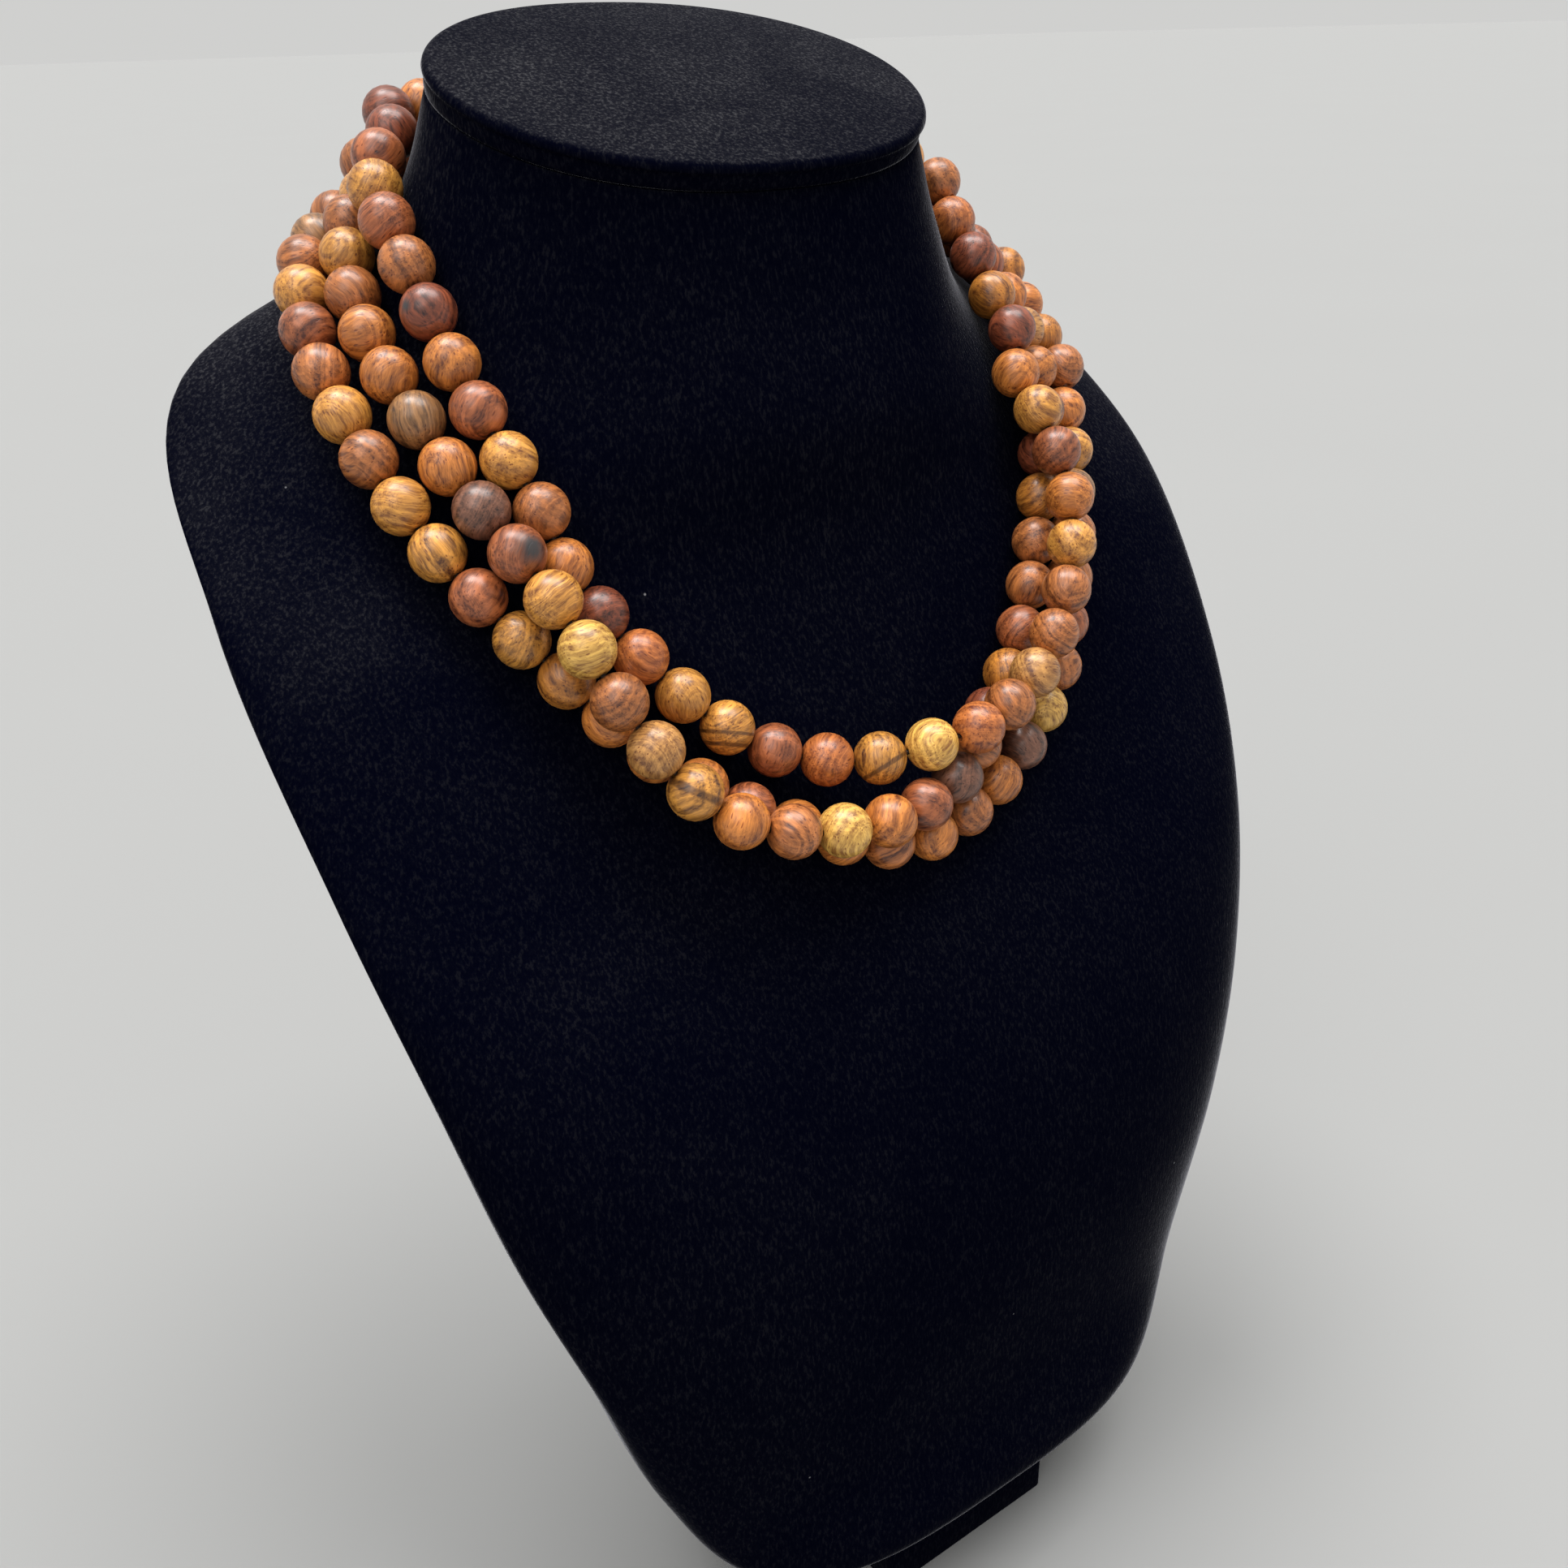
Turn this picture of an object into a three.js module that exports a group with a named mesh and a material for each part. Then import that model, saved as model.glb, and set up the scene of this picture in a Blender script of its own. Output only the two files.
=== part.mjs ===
// Beaded necklace: three strands of round wooden beads on a velvet neck bust.
// Millimetres, +Z up. The bust faces -Y and its foot rests on z = 0.

import * as THREE from "three";

// Beads, thread and clasp
const BEAD_DIAMETER = 10;
const BEAD_SPACING = 0.1;
const THREAD_DIAMETER = 1.6;
const CLASP_DROP = 21.6;
const CLASP_WIDTH = 8;
const CLASP_THICKNESS = 5;
const CLASP_MARGIN = 4;
const CLASP_CORNER = 2.5;
const CLASP_BEVEL = 1;

// Bust
const BODY_HEIGHT = 235;
const BODY_DEPTH = 100;
const SHOULDER_HALF_WIDTH = 109;
const NECK_HEIGHT = 46.2;
const NECK_HALF_WIDTH = 50;
const NECK_HALF_DEPTH = 36;
const CAP_THICKNESS = 5;
const CAP_OVERHANG = 0.8;
const CAP_ROUNDING = 2;
const CAP_DOME = 1;
const FOOT_HEIGHT = 25;
const FOOT_HALF_WIDTH = 23.6;
const FOOT_FRONT = 19;
const FOOT_BACK = 66;
const FOOT_CORNER = 1.5;

// Clearance between pieces that touch
const GAP = 0.3;

// Sections of the body from the foot to the shoulders. up is a share of BODY_HEIGHT
// and half of SHOULDER_HALF_WIDTH. side is where the widest line lies, front and back
// are the depths before and behind it, all shares of BODY_DEPTH. lean tips the
// section forwards in degrees. bow and spine bend the outline before and behind the
// widest line: 1 is an ellipse, less is squarer, more is narrower.
const BODY_SECTIONS = [
  { up: 0, half: 0.36, side: -0.16, front: 0.12, back: 0.92, lean: 0, bow: 0.5, spine: 0.8 },
  { up: 0.021, half: 0.54, side: -0.11, front: 0.195, back: 0.89, lean: 0, bow: 0.7, spine: 0.9 },
  { up: 0.124, half: 0.665, side: -0.066, front: 0.205, back: 0.845, lean: 0, bow: 0.8, spine: 1.1 },
  { up: 0.278, half: 0.77, side: -0.066, front: 0.195, back: 0.785, lean: 2, bow: 0.86, spine: 1.3 },
  { up: 0.415, half: 0.86, side: -0.01, front: 0.21, back: 0.735, lean: 7, bow: 0.86, spine: 1.4 },
  { up: 0.56, half: 0.926, side: 0.082, front: 0.207, back: 0.68, lean: 18, bow: 0.86, spine: 1.4 },
  { up: 0.704, half: 0.978, side: 0.248, front: 0.213, back: 0.61, lean: 28, bow: 0.86, spine: 1.3 },
  { up: 0.873, half: 1, side: 0.55, front: 0.35, back: 0.51, lean: 27, bow: 0.86, spine: 1.15 },
  { up: 1, half: 0.91, side: 0.9, front: 0.663, back: 0.37, lean: 25, bow: 0.86, spine: 1 },
];

// Sections of the neck above the shoulders. up is a share of NECK_HEIGHT, half of
// NECK_HALF_WIDTH, front and back of NECK_HALF_DEPTH and side of BODY_DEPTH.
const NECK_SECTIONS = [
  { up: 0.34, half: 1.29, side: 0.818, front: 1.54, back: 1.06, lean: 24, bow: 0.86, spine: 0.95 },
  { up: 0.67, half: 1.1, side: 0.772, front: 1.2, back: 1.05, lean: 23.5, bow: 0.86, spine: 0.9 },
  { up: 1, half: 1, side: 0.755, front: 1.02, back: 0.97, lean: 22, bow: 0.86, spine: 0.9 },
];

// Chosen points of each strand's route from the clasp over the left side of the neck,
// round the chest and back over the right side to the clasp: across as a share of
// SHOULDER_HALF_WIDTH, depth of BODY_DEPTH and height above the foot of BODY_HEIGHT
const ROUTES = {
  strand_inner: [
    [-0.1468, 1.19, 1.203],
    [-0.4128, 1.1, 1.186],
    [-0.5642, 0.76, 1.1221],
    [-0.5596, 0.48, 1.003],
    [-0.4771, 0.275, 0.8647],
    [-0.2661, 0.115, 0.7519],
    [0.0092, 0.04, 0.7221],
    [0.2661, 0.04, 0.7604],
    [0.4495, 0.155, 0.8455],
    [0.5138, 0.29, 0.9477],
    [0.578, 0.54, 1.0455],
    [0.578, 0.78, 1.1264],
    [0.4128, 1.1, 1.186],
    [0.1835, 1.18, 1.203],
  ],
  strand_middle: [
    [-0.1193, 1.23, 1.1647],
    [-0.4771, 1.09, 1.1519],
    [-0.633, 0.79, 1.0774],
    [-0.6284, 0.47, 0.9689],
    [-0.5596, 0.28, 0.8689],
    [-0.5321, 0.13, 0.8179],
    [-0.3945, 0, 0.7285],
    [-0.0642, -0.05, 0.6966],
    [0.211, 0.08, 0.7264],
    [0.4495, 0.24, 0.8413],
    [0.633, 0.51, 0.9945],
    [0.6422, 0.78, 1.0796],
    [0.4771, 1.09, 1.1519],
    [0.156, 1.225, 1.1647],
  ],
  strand_outer: [
    [-0.1009, 1.26, 1.1179],
    [-0.5413, 1.09, 1.1157],
    [-0.711, 0.795, 1.054],
    [-0.7064, 0.475, 0.9455],
    [-0.5642, 0.24, 0.8285],
    [-0.3349, 0.08, 0.7179],
    [-0.0092, 0, 0.6583],
    [0.3394, 0.08, 0.7179],
    [0.5505, 0.25, 0.837],
    [0.6972, 0.48, 0.9583],
    [0.7248, 0.79, 1.054],
    [0.5413, 1.09, 1.1157],
    [0.1009, 1.26, 1.1179],
  ],
};

// Fineness of the meshes
const SIDES_AROUND_BUST = 36;
const RINGS_PER_SECTION = 2;
const BEAD_SIDES = 10;
const BEAD_RING_ANGLES = [-45, 0, 45];

// How the strands are laid: steps, and the shares by which one step draws a bead
// along its route and sinks it at most, the latter of BEAD_DIAMETER
const LAYING_STEPS = 110;
const FINAL_STEPS = 30;
const PITCH_SWEEPS = 4;
const ROUTE_PULL = 0.3;
const PRESS_SHARE = 0.005;

const BEAD_RADIUS = BEAD_DIAMETER / 2;
const BEAD_PITCH = BEAD_DIAMETER + BEAD_SPACING;
const THREAD_RADIUS = THREAD_DIAMETER / 2;
const SEAT = BEAD_RADIUS + GAP;
const PRESS_STEP = PRESS_SHARE * BEAD_DIAMETER;
const STRAND_SPACING = BEAD_DIAMETER + 2 * GAP;
const BODY_BASE = FOOT_HEIGHT + GAP;
const NECK_BASE = BODY_BASE + BODY_HEIGHT;
const X_AXIS = new THREE.Vector3(1, 0, 0);

const velvet = new THREE.MeshStandardMaterial({ color: "#0c0d14", roughness: 1, metalness: 0 });
const capVelvet = new THREE.MeshStandardMaterial({ color: "#14151b", roughness: 1, metalness: 0 });
const innerWood = new THREE.MeshStandardMaterial({ color: "#8a4f2e", roughness: 0.45, metalness: 0 });
const middleWood = new THREE.MeshStandardMaterial({ color: "#8f5a34", roughness: 0.45, metalness: 0 });
const outerWood = new THREE.MeshStandardMaterial({ color: "#94603a", roughness: 0.45, metalness: 0 });
const claspMetal = new THREE.MeshStandardMaterial({ color: "#b08d57", roughness: 0.35, metalness: 1 });

// A section's sizes in millimetres
function bodySection(row) {
  return {
    height: BODY_BASE + row.up * BODY_HEIGHT,
    half: row.half * SHOULDER_HALF_WIDTH,
    side: row.side * BODY_DEPTH,
    front: row.front * BODY_DEPTH,
    back: row.back * BODY_DEPTH,
    lean: THREE.MathUtils.degToRad(row.lean),
    bow: row.bow,
    spine: row.spine,
  };
}

function neckSection(row) {
  return {
    height: NECK_BASE + row.up * NECK_HEIGHT,
    half: row.half * NECK_HALF_WIDTH,
    side: row.side * BODY_DEPTH,
    front: row.front * NECK_HALF_DEPTH,
    back: row.back * NECK_HALF_DEPTH,
    lean: THREE.MathUtils.degToRad(row.lean),
    bow: row.bow,
    spine: row.spine,
  };
}

// The closed outline of a section, grown outwards by margin and lifted along its
// own normal by lift
function sectionOutline(section, margin = 0, lift = 0) {
  const points = [];
  for (let i = 0; i < SIDES_AROUND_BUST; i += 1) {
    const angle = (2 * Math.PI * i) / SIDES_AROUND_BUST;
    const across = Math.cos(angle);
    const along = Math.sin(angle);
    const behind = along > 0;
    const bend = behind ? section.spine : section.bow;
    const reach = (behind ? section.back : section.front) + margin;
    const x = (section.half + margin) * Math.sign(across) * Math.abs(across) ** bend;
    const depth = reach * along;
    const y = section.side + depth * Math.cos(section.lean) - lift * Math.sin(section.lean);
    const z = section.height + depth * Math.sin(section.lean) + lift * Math.cos(section.lean);
    points.push(new THREE.Vector3(x, y, z));
  }
  return points;
}

function middleOf(points) {
  const sum = new THREE.Vector3();
  points.forEach((point) => sum.add(point));
  return sum.divideScalar(points.length);
}

// A closed mesh skinned over rings of equally many points, with a fan at either end
function skin(rings, firstMiddle, lastMiddle) {
  const sides = rings[0].length;
  const points = [...rings.flat(), firstMiddle, lastMiddle];
  const firstIndex = points.length - 2;
  const lastIndex = points.length - 1;
  const lastRing = (rings.length - 1) * sides;
  const faces = [];
  for (let i = 0; i < sides; i += 1) {
    const next = (i + 1) % sides;
    faces.push(firstIndex, next, i);
    faces.push(lastIndex, lastRing + i, lastRing + next);
    for (let ring = 0; ring < lastRing; ring += sides) {
      const a = ring + i;
      const b = ring + next;
      faces.push(a, b, b + sides);
      faces.push(a, b + sides, a + sides);
    }
  }
  const geometry = new THREE.BufferGeometry().setFromPoints(points);
  geometry.setIndex(faces);
  geometry.computeVertexNormals();
  return geometry;
}

// The body and neck: a smooth rail runs through each outline point of the sections
function bustGeometry(sections) {
  const outlines = sections.map((section) => sectionOutline(section));
  const ringCount = (sections.length - 1) * RINGS_PER_SECTION + 1;
  const rings = Array.from({ length: ringCount }, () => []);
  for (let i = 0; i < SIDES_AROUND_BUST; i += 1) {
    const rail = new THREE.CatmullRomCurve3(outlines.map((outline) => outline[i]));
    rings.forEach((ring, k) => ring.push(rail.getPoint(k / (ringCount - 1))));
  }
  return skin(rings, middleOf(rings[0]), middleOf(rings[ringCount - 1]));
}

// The oval cap on the neck, with a rounded rim and a slightly domed top
function capGeometry(top) {
  const straight = CAP_THICKNESS - CAP_ROUNDING;
  const turn = Math.SQRT1_2 * CAP_ROUNDING;
  const rings = [
    sectionOutline(top, CAP_OVERHANG, GAP),
    sectionOutline(top, CAP_OVERHANG, GAP + straight),
    sectionOutline(top, CAP_OVERHANG - CAP_ROUNDING + turn, GAP + straight + turn),
    sectionOutline(top, CAP_OVERHANG - CAP_ROUNDING, GAP + CAP_THICKNESS),
  ];
  const normal = new THREE.Vector3(0, -Math.sin(top.lean), Math.cos(top.lean));
  const crown = middleOf(rings[3]).addScaledVector(normal, CAP_DOME);
  return skin(rings, middleOf(rings[0]), crown);
}

// An oblong with rounded corners of radius r, between two corners of a rectangle
function roundedOblong(left, low, right, high, r) {
  const shape = new THREE.Shape();
  shape.absarc(right - r, high - r, r, 0, Math.PI / 2);
  shape.absarc(left + r, high - r, r, Math.PI / 2, Math.PI);
  shape.absarc(left + r, low + r, r, Math.PI, 1.5 * Math.PI);
  shape.absarc(right - r, low + r, r, 1.5 * Math.PI, 2 * Math.PI);
  return shape;
}

// The foot block, which stands back under the body's rim
function footGeometry() {
  const shape = roundedOblong(
    -FOOT_HALF_WIDTH,
    -FOOT_FRONT,
    FOOT_HALF_WIDTH,
    FOOT_BACK,
    FOOT_CORNER,
  );
  return new THREE.ExtrudeGeometry(shape, {
    depth: FOOT_HEIGHT,
    bevelEnabled: false,
    curveSegments: 3,
  });
}

// The facets of a mesh, each with its middle and reach, for finding the nearest one
function facetsOf(geometry) {
  const places = geometry.getAttribute("position");
  const corner = (i) => new THREE.Vector3().fromBufferAttribute(places, i);
  const corners = Array.from(geometry.index.array, corner);
  const facets = [];
  for (let i = 0; i < corners.length; i += 3) {
    const triangle = new THREE.Triangle(corners[i], corners[i + 1], corners[i + 2]);
    const middle = triangle.getMidpoint(new THREE.Vector3());
    const reach = Math.max(...corners.slice(i, i + 3).map((point) => point.distanceTo(middle)));
    facets.push({ triangle, middle, reach, normal: triangle.getNormal(new THREE.Vector3()) });
  }
  return facets;
}

// How far a point lies outside the nearest facet, and the way off it
function offSurface(point, facets) {
  const closest = new THREE.Vector3();
  const trial = new THREE.Vector3();
  let least = Infinity;
  let nearest = facets[0];
  for (const facet of facets) {
    if (facet.middle.distanceTo(point) - facet.reach < least) {
      facet.triangle.closestPointToPoint(point, trial);
      const distance = trial.distanceTo(point);
      if (distance < least) {
        least = distance;
        nearest = facet;
        closest.copy(trial);
      }
    }
  }
  const way = point.clone().sub(closest);
  const outside = way.dot(nearest.normal) >= 0;
  way.normalize().multiplyScalar(outside ? 1 : -1);
  return { distance: outside ? least : -least, way };
}

// Pushes each bead out of the bust and off the beads of strands laid before it
function clear(beads, facets, laid) {
  for (const bead of beads) {
    for (const other of laid) {
      const distance = bead.distanceTo(other);
      if (distance < BEAD_DIAMETER + GAP) {
        const way = bead.clone().sub(other).normalize();
        bead.addScaledVector(way, BEAD_DIAMETER + GAP - distance);
      }
    }
    const { distance, way } = offSurface(bead, facets);
    if (distance < SEAT) {
      bead.addScaledVector(way, SEAT - distance);
    }
  }
}

// Draws neighbouring beads of a strand to their pitch
function holdPitch(beads, pitch) {
  for (let i = 1; i < beads.length; i += 1) {
    const link = beads[i].clone().sub(beads[i - 1]);
    const error = link.length() - pitch;
    link.setLength(error / 2);
    beads[i - 1].add(link);
    beads[i].sub(link);
  }
}

function routePoint([across, depth, height]) {
  return new THREE.Vector3(
    across * SHOULDER_HALF_WIDTH,
    depth * BODY_DEPTH,
    BODY_BASE + height * BODY_HEIGHT,
  );
}

// Lays a strand along its route: each bead is drawn to its place on the route, sinks
// until it rests on the bust or on the strands below, and keeps its pitch
function layStrand(route, facets, laid) {
  const curve = new THREE.CatmullRomCurve3(route.map(routePoint));
  const links = Math.round(curve.getLength() / BEAD_PITCH);
  const places = curve.getSpacedPoints(links);
  const beads = places.map((place) => place.clone());
  for (let step = 0; step < LAYING_STEPS; step += 1) {
    beads.forEach((bead, i) => {
      const { distance, way } = offSurface(bead, facets);
      const pull = places[i].clone().sub(bead);
      pull.addScaledVector(way, -pull.dot(way));
      bead.addScaledVector(pull, ROUTE_PULL);
      bead.addScaledVector(way, -THREE.MathUtils.clamp(distance - SEAT, 0, PRESS_STEP));
    });
    for (let sweep = 0; sweep < PITCH_SWEEPS; sweep += 1) {
      holdPitch(beads, BEAD_PITCH);
    }
    clear(beads, facets, laid);
  }
  for (let step = 0; step < FINAL_STEPS; step += 1) {
    holdPitch(beads, BEAD_PITCH);
    clear(beads, facets, laid);
    clear(beads, facets, laid);
  }
  return beads;
}

// A place behind the neck at a given height, as far off the bust as a resting bead
function napePoint(height, facets) {
  const point = new THREE.Vector3(0, 2 * BODY_DEPTH, height);
  for (let step = 0; step < FINAL_STEPS; step += 1) {
    point.y -= offSurface(point, facets).distance - SEAT;
  }
  return point;
}

// One string: beads and the thread between them in one closed skin, from the clasp
// round to the clasp. Each bead has rings at a few angles from its equator.
function stringGeometry(beads, start, end) {
  const rings = [];
  const normal = new THREE.Vector3(0, 0, 1);
  const addRing = (centre, direction, radius) => {
    normal.addScaledVector(direction, -normal.dot(direction)).normalize();
    const other = direction.clone().cross(normal);
    const ring = [];
    for (let i = 0; i < BEAD_SIDES; i += 1) {
      const angle = (2 * Math.PI * i) / BEAD_SIDES;
      const point = centre.clone();
      point.addScaledVector(normal, radius * Math.cos(angle));
      point.addScaledVector(other, radius * Math.sin(angle));
      ring.push(point);
    }
    rings.push(ring);
  };
  const towards = (from, to) => to.clone().sub(from).normalize();
  const count = beads.length;
  const firstWay = towards(start, beads[0]);
  const lastWay = towards(beads[count - 1], end);
  addRing(start, firstWay, THREAD_RADIUS);
  addRing(beads[0].clone().addScaledVector(firstWay, -BEAD_RADIUS), firstWay, THREAD_RADIUS);
  beads.forEach((bead, i) => {
    const before = i === 0 ? start : beads[i - 1];
    const after = i === count - 1 ? end : beads[i + 1];
    const way = towards(bead, after).sub(towards(bead, before)).normalize();
    BEAD_RING_ANGLES.forEach((degrees) => {
      const angle = THREE.MathUtils.degToRad(degrees);
      const centre = bead.clone().addScaledVector(way, BEAD_RADIUS * Math.sin(angle));
      addRing(centre, way, BEAD_RADIUS * Math.cos(angle));
    });
    if (i < count - 1) {
      const halfway = bead.clone().add(after).multiplyScalar(0.5);
      addRing(halfway, towards(bead, after), THREAD_RADIUS);
    }
  });
  addRing(beads[count - 1].clone().addScaledVector(lastWay, BEAD_RADIUS), lastWay, THREAD_RADIUS);
  addRing(end, lastWay, THREAD_RADIUS);
  return skin(rings, start, end);
}

// A rounded bar across the nape, which the ends of all strands meet
function claspGeometry(length) {
  const x = CLASP_WIDTH / 2 - CLASP_BEVEL;
  const y = length / 2 - CLASP_BEVEL;
  const shape = roundedOblong(-x, -y, x, y, CLASP_CORNER - CLASP_BEVEL);
  const geometry = new THREE.ExtrudeGeometry(shape, {
    depth: CLASP_THICKNESS - 2 * CLASP_BEVEL,
    bevelThickness: CLASP_BEVEL,
    bevelSize: CLASP_BEVEL,
    bevelSegments: 2,
    curveSegments: 3,
  });
  return geometry.translate(0, 0, CLASP_BEVEL - CLASP_THICKNESS / 2);
}

function addMesh(group, name, geometry, material) {
  const mesh = new THREE.Mesh(geometry, material);
  mesh.name = name;
  group.add(mesh);
  return mesh;
}

const sections = [...BODY_SECTIONS.map(bodySection), ...NECK_SECTIONS.map(neckSection)];
const neckTop = sections[sections.length - 1];

const bust = new THREE.Group();
const bodyGeometry = bustGeometry(sections);
addMesh(bust, "bust_body", bodyGeometry, velvet);
addMesh(bust, "neck_cap", capGeometry(neckTop), capVelvet);
addMesh(bust, "foot_block", footGeometry(), velvet);

const facets = facetsOf(bodyGeometry);
const neckEdge = Math.max(...sectionOutline(neckTop).map((point) => point.z));
const claspHeight = neckEdge - CLASP_DROP;
const ports = [1, 0, -1].map((row) => napePoint(claspHeight + row * STRAND_SPACING, facets));
const [innerPort, middlePort, outerPort] = ports;
const portOffset = X_AXIS.clone().multiplyScalar(CLASP_WIDTH / 2 + GAP);

const outerBeads = layStrand(ROUTES.strand_outer, facets, []);
const middleBeads = layStrand(ROUTES.strand_middle, facets, outerBeads);
const innerBeads = layStrand(ROUTES.strand_inner, facets, [...outerBeads, ...middleBeads]);

const necklace = new THREE.Group();
const strands = [
  { name: "strand_inner", beads: innerBeads, port: innerPort, material: innerWood },
  { name: "strand_middle", beads: middleBeads, port: middlePort, material: middleWood },
  { name: "strand_outer", beads: outerBeads, port: outerPort, material: outerWood },
];
for (const { name, beads, port, material } of strands) {
  const start = port.clone().sub(portOffset);
  const end = port.clone().add(portOffset);
  addMesh(necklace, name, stringGeometry(beads, start, end), material);
}

const claspLine = innerPort.clone().sub(outerPort);
const claspLength = claspLine.length() + 2 * CLASP_MARGIN;
const claspUp = claspLine.normalize();
const clasp = addMesh(necklace, "clasp", claspGeometry(claspLength), claspMetal);
clasp.position.copy(middlePort);
const claspOut = X_AXIS.clone().cross(claspUp);
clasp.setRotationFromMatrix(new THREE.Matrix4().makeBasis(X_AXIS, claspUp, claspOut));

// The whole stands with the middle of its box over the origin
const part = new THREE.Group();
part.add(bust);
part.add(necklace);
part.position.y = -new THREE.Box3().setFromObject(part).getCenter(new THREE.Vector3()).y;

export default part;
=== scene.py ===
import math

import bpy
import numpy as np
from bpy.props import FloatProperty, FloatVectorProperty, IntProperty, PointerProperty
from mathutils import Matrix, Vector


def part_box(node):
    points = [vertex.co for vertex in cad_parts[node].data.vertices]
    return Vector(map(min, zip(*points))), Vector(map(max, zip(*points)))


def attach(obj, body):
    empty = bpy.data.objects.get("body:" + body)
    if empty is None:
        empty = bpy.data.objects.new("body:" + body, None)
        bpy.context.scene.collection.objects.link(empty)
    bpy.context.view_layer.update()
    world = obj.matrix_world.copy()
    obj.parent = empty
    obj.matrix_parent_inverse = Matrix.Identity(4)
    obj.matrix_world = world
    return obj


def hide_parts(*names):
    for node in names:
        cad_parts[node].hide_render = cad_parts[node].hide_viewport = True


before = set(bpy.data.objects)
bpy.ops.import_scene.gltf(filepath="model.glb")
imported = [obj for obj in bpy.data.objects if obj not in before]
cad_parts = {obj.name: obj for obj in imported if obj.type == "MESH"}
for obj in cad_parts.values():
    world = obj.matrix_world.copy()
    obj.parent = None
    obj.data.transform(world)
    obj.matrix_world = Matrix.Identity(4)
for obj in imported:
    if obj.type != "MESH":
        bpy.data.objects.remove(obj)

bl_info = {
    "name": "Beaded necklace on a neck bust",
    "version": (1, 0, 0),
    "blender": (4, 5, 0),
    "location": "3D View > Sidebar > Necklace",
    "description": "Makes wooden beads, thread and clasp, and the velvet bust under them",
    "category": "Object",
}

MM = 0.001

# Sizes of the bust in millimetres, as the frame has them. Depths are measured from a
# zero line inside the chest.
BODY_HEIGHT = 235.0
BODY_DEPTH = 100.0
SHOULDER_HALF_WIDTH = 109.0
NECK_HEIGHT = 46.2
NECK_HALF_WIDTH = 50.0
NECK_HALF_DEPTH = 36.0
FOOT_HEIGHT = 25.0
FOOT_HALF_WIDTH = 23.6
FOOT_FRONT = 19.0
FOOT_BACK = 66.0
CAP_THICKNESS = 5.0
CAP_OVERHANG = 0.8
CAP_DOME = 1.0
GAP = 0.3

# Sections from the foot to the top of the neck. Height, half width, side line, front
# and back are shares of the sizes above, lean is in degrees, and bow and spine are the
# powers that round the front and the back.
SECTION_COLUMNS = ("up", "half", "side", "front", "back", "lean", "bow", "spine")
BODY_SECTIONS = (
    (0, 0.36, -0.16, 0.12, 0.92, 0, 0.5, 0.8),
    (0.021, 0.54, -0.11, 0.195, 0.89, 0, 0.7, 0.9),
    (0.124, 0.665, -0.066, 0.205, 0.845, 0, 0.8, 1.1),
    (0.278, 0.77, -0.066, 0.195, 0.785, 2, 0.86, 1.3),
    (0.415, 0.86, -0.01, 0.21, 0.735, 7, 0.86, 1.4),
    (0.56, 0.926, 0.082, 0.207, 0.68, 18, 0.86, 1.4),
    (0.704, 0.978, 0.248, 0.213, 0.61, 28, 0.86, 1.3),
    (0.873, 1, 0.55, 0.35, 0.51, 27, 0.86, 1.15),
    (1, 0.91, 0.9, 0.663, 0.37, 25, 0.86, 1),
)
NECK_SECTIONS = (
    (0.34, 1.29, 0.818, 1.54, 1.06, 24, 0.86, 0.95),
    (0.67, 1.1, 0.772, 1.2, 1.05, 23.5, 0.86, 0.9),
    (1, 1, 0.755, 1.02, 0.97, 22, 0.86, 0.9),
)

# Tone of each bead from the clasp over the left side, round the chest and back: the
# part behind the neck, the part that lies in front, and the part behind again
TONES = {
    "strand_inner": "mro" "ddrgrmdor" "gmodcgsrc" "shcmtmmgor" "godbdcm" "grmodtm",
    "strand_middle": "omgr" "mtmgmooyop" "rghmtsomho" "rpmdbrmmbd" "moto" "rmogtmogrm",
    "strand_outer": "grotm" "mymgrmgmgs" "rsboooroom" "omophmrmmy" "gombob" "rmotgrmotg",
}

# Light early wood and dark late wood of each tone: golden, yellow gold, orange, coral,
# tan, mid brown, golden brown, red brown, dark red, purple brown, grey brown, striped
WOOD_TONES = {
    "g": ("#e7a349", "#6f3d17"),
    "h": ("#f6c361", "#81501f"),
    "o": ("#e08b3e", "#652f11"),
    "c": ("#d27c3d", "#652a11"),
    "t": ("#d89d57", "#65381b"),
    "m": ("#c6793f", "#522711"),
    "b": ("#d28836", "#5f320f"),
    "r": ("#b6683c", "#471c0e"),
    "d": ("#984f32", "#36150d"),
    "p": ("#8f5f48", "#321c15"),
    "y": ("#ad7b4a", "#462e1c"),
    "s": ("#e49e44", "#4c2710"),
}

# Added to a strand's number, so that its boards and its shades are drawn apart
BOARD_SEED = 50
SHADE_SEED = 90

# Marks on single beads. A knot has its strand, bead number, size in mm and the way
# from the bead's middle to it. Dark stripes have their strand, bead number, the way
# across them, and a place along that way and half a width in mm for each.
KNOTS = (
    ("strand_inner", 9, 1.5, (-0.9, -0.24, 0.36)),
    ("strand_middle", 14, 3.3, (0.16, -0.9, 0.4)),
)
STRIPES = (
    ("strand_inner", 18, (0.33, 0.3, 0.9), ((-0.9, 0.3), (-3.0, 0.35))),
    ("strand_inner", 21, (-0.2, 0.6, 0.77), ((-1.6, 0.4),)),
    ("strand_middle", 19, (0.58, 0.08, 0.81), ((0.2, 0.65),)),
)
# Distance from a mark, in its own sizes, of all points on beads that have none
FAR = 9.0

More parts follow.
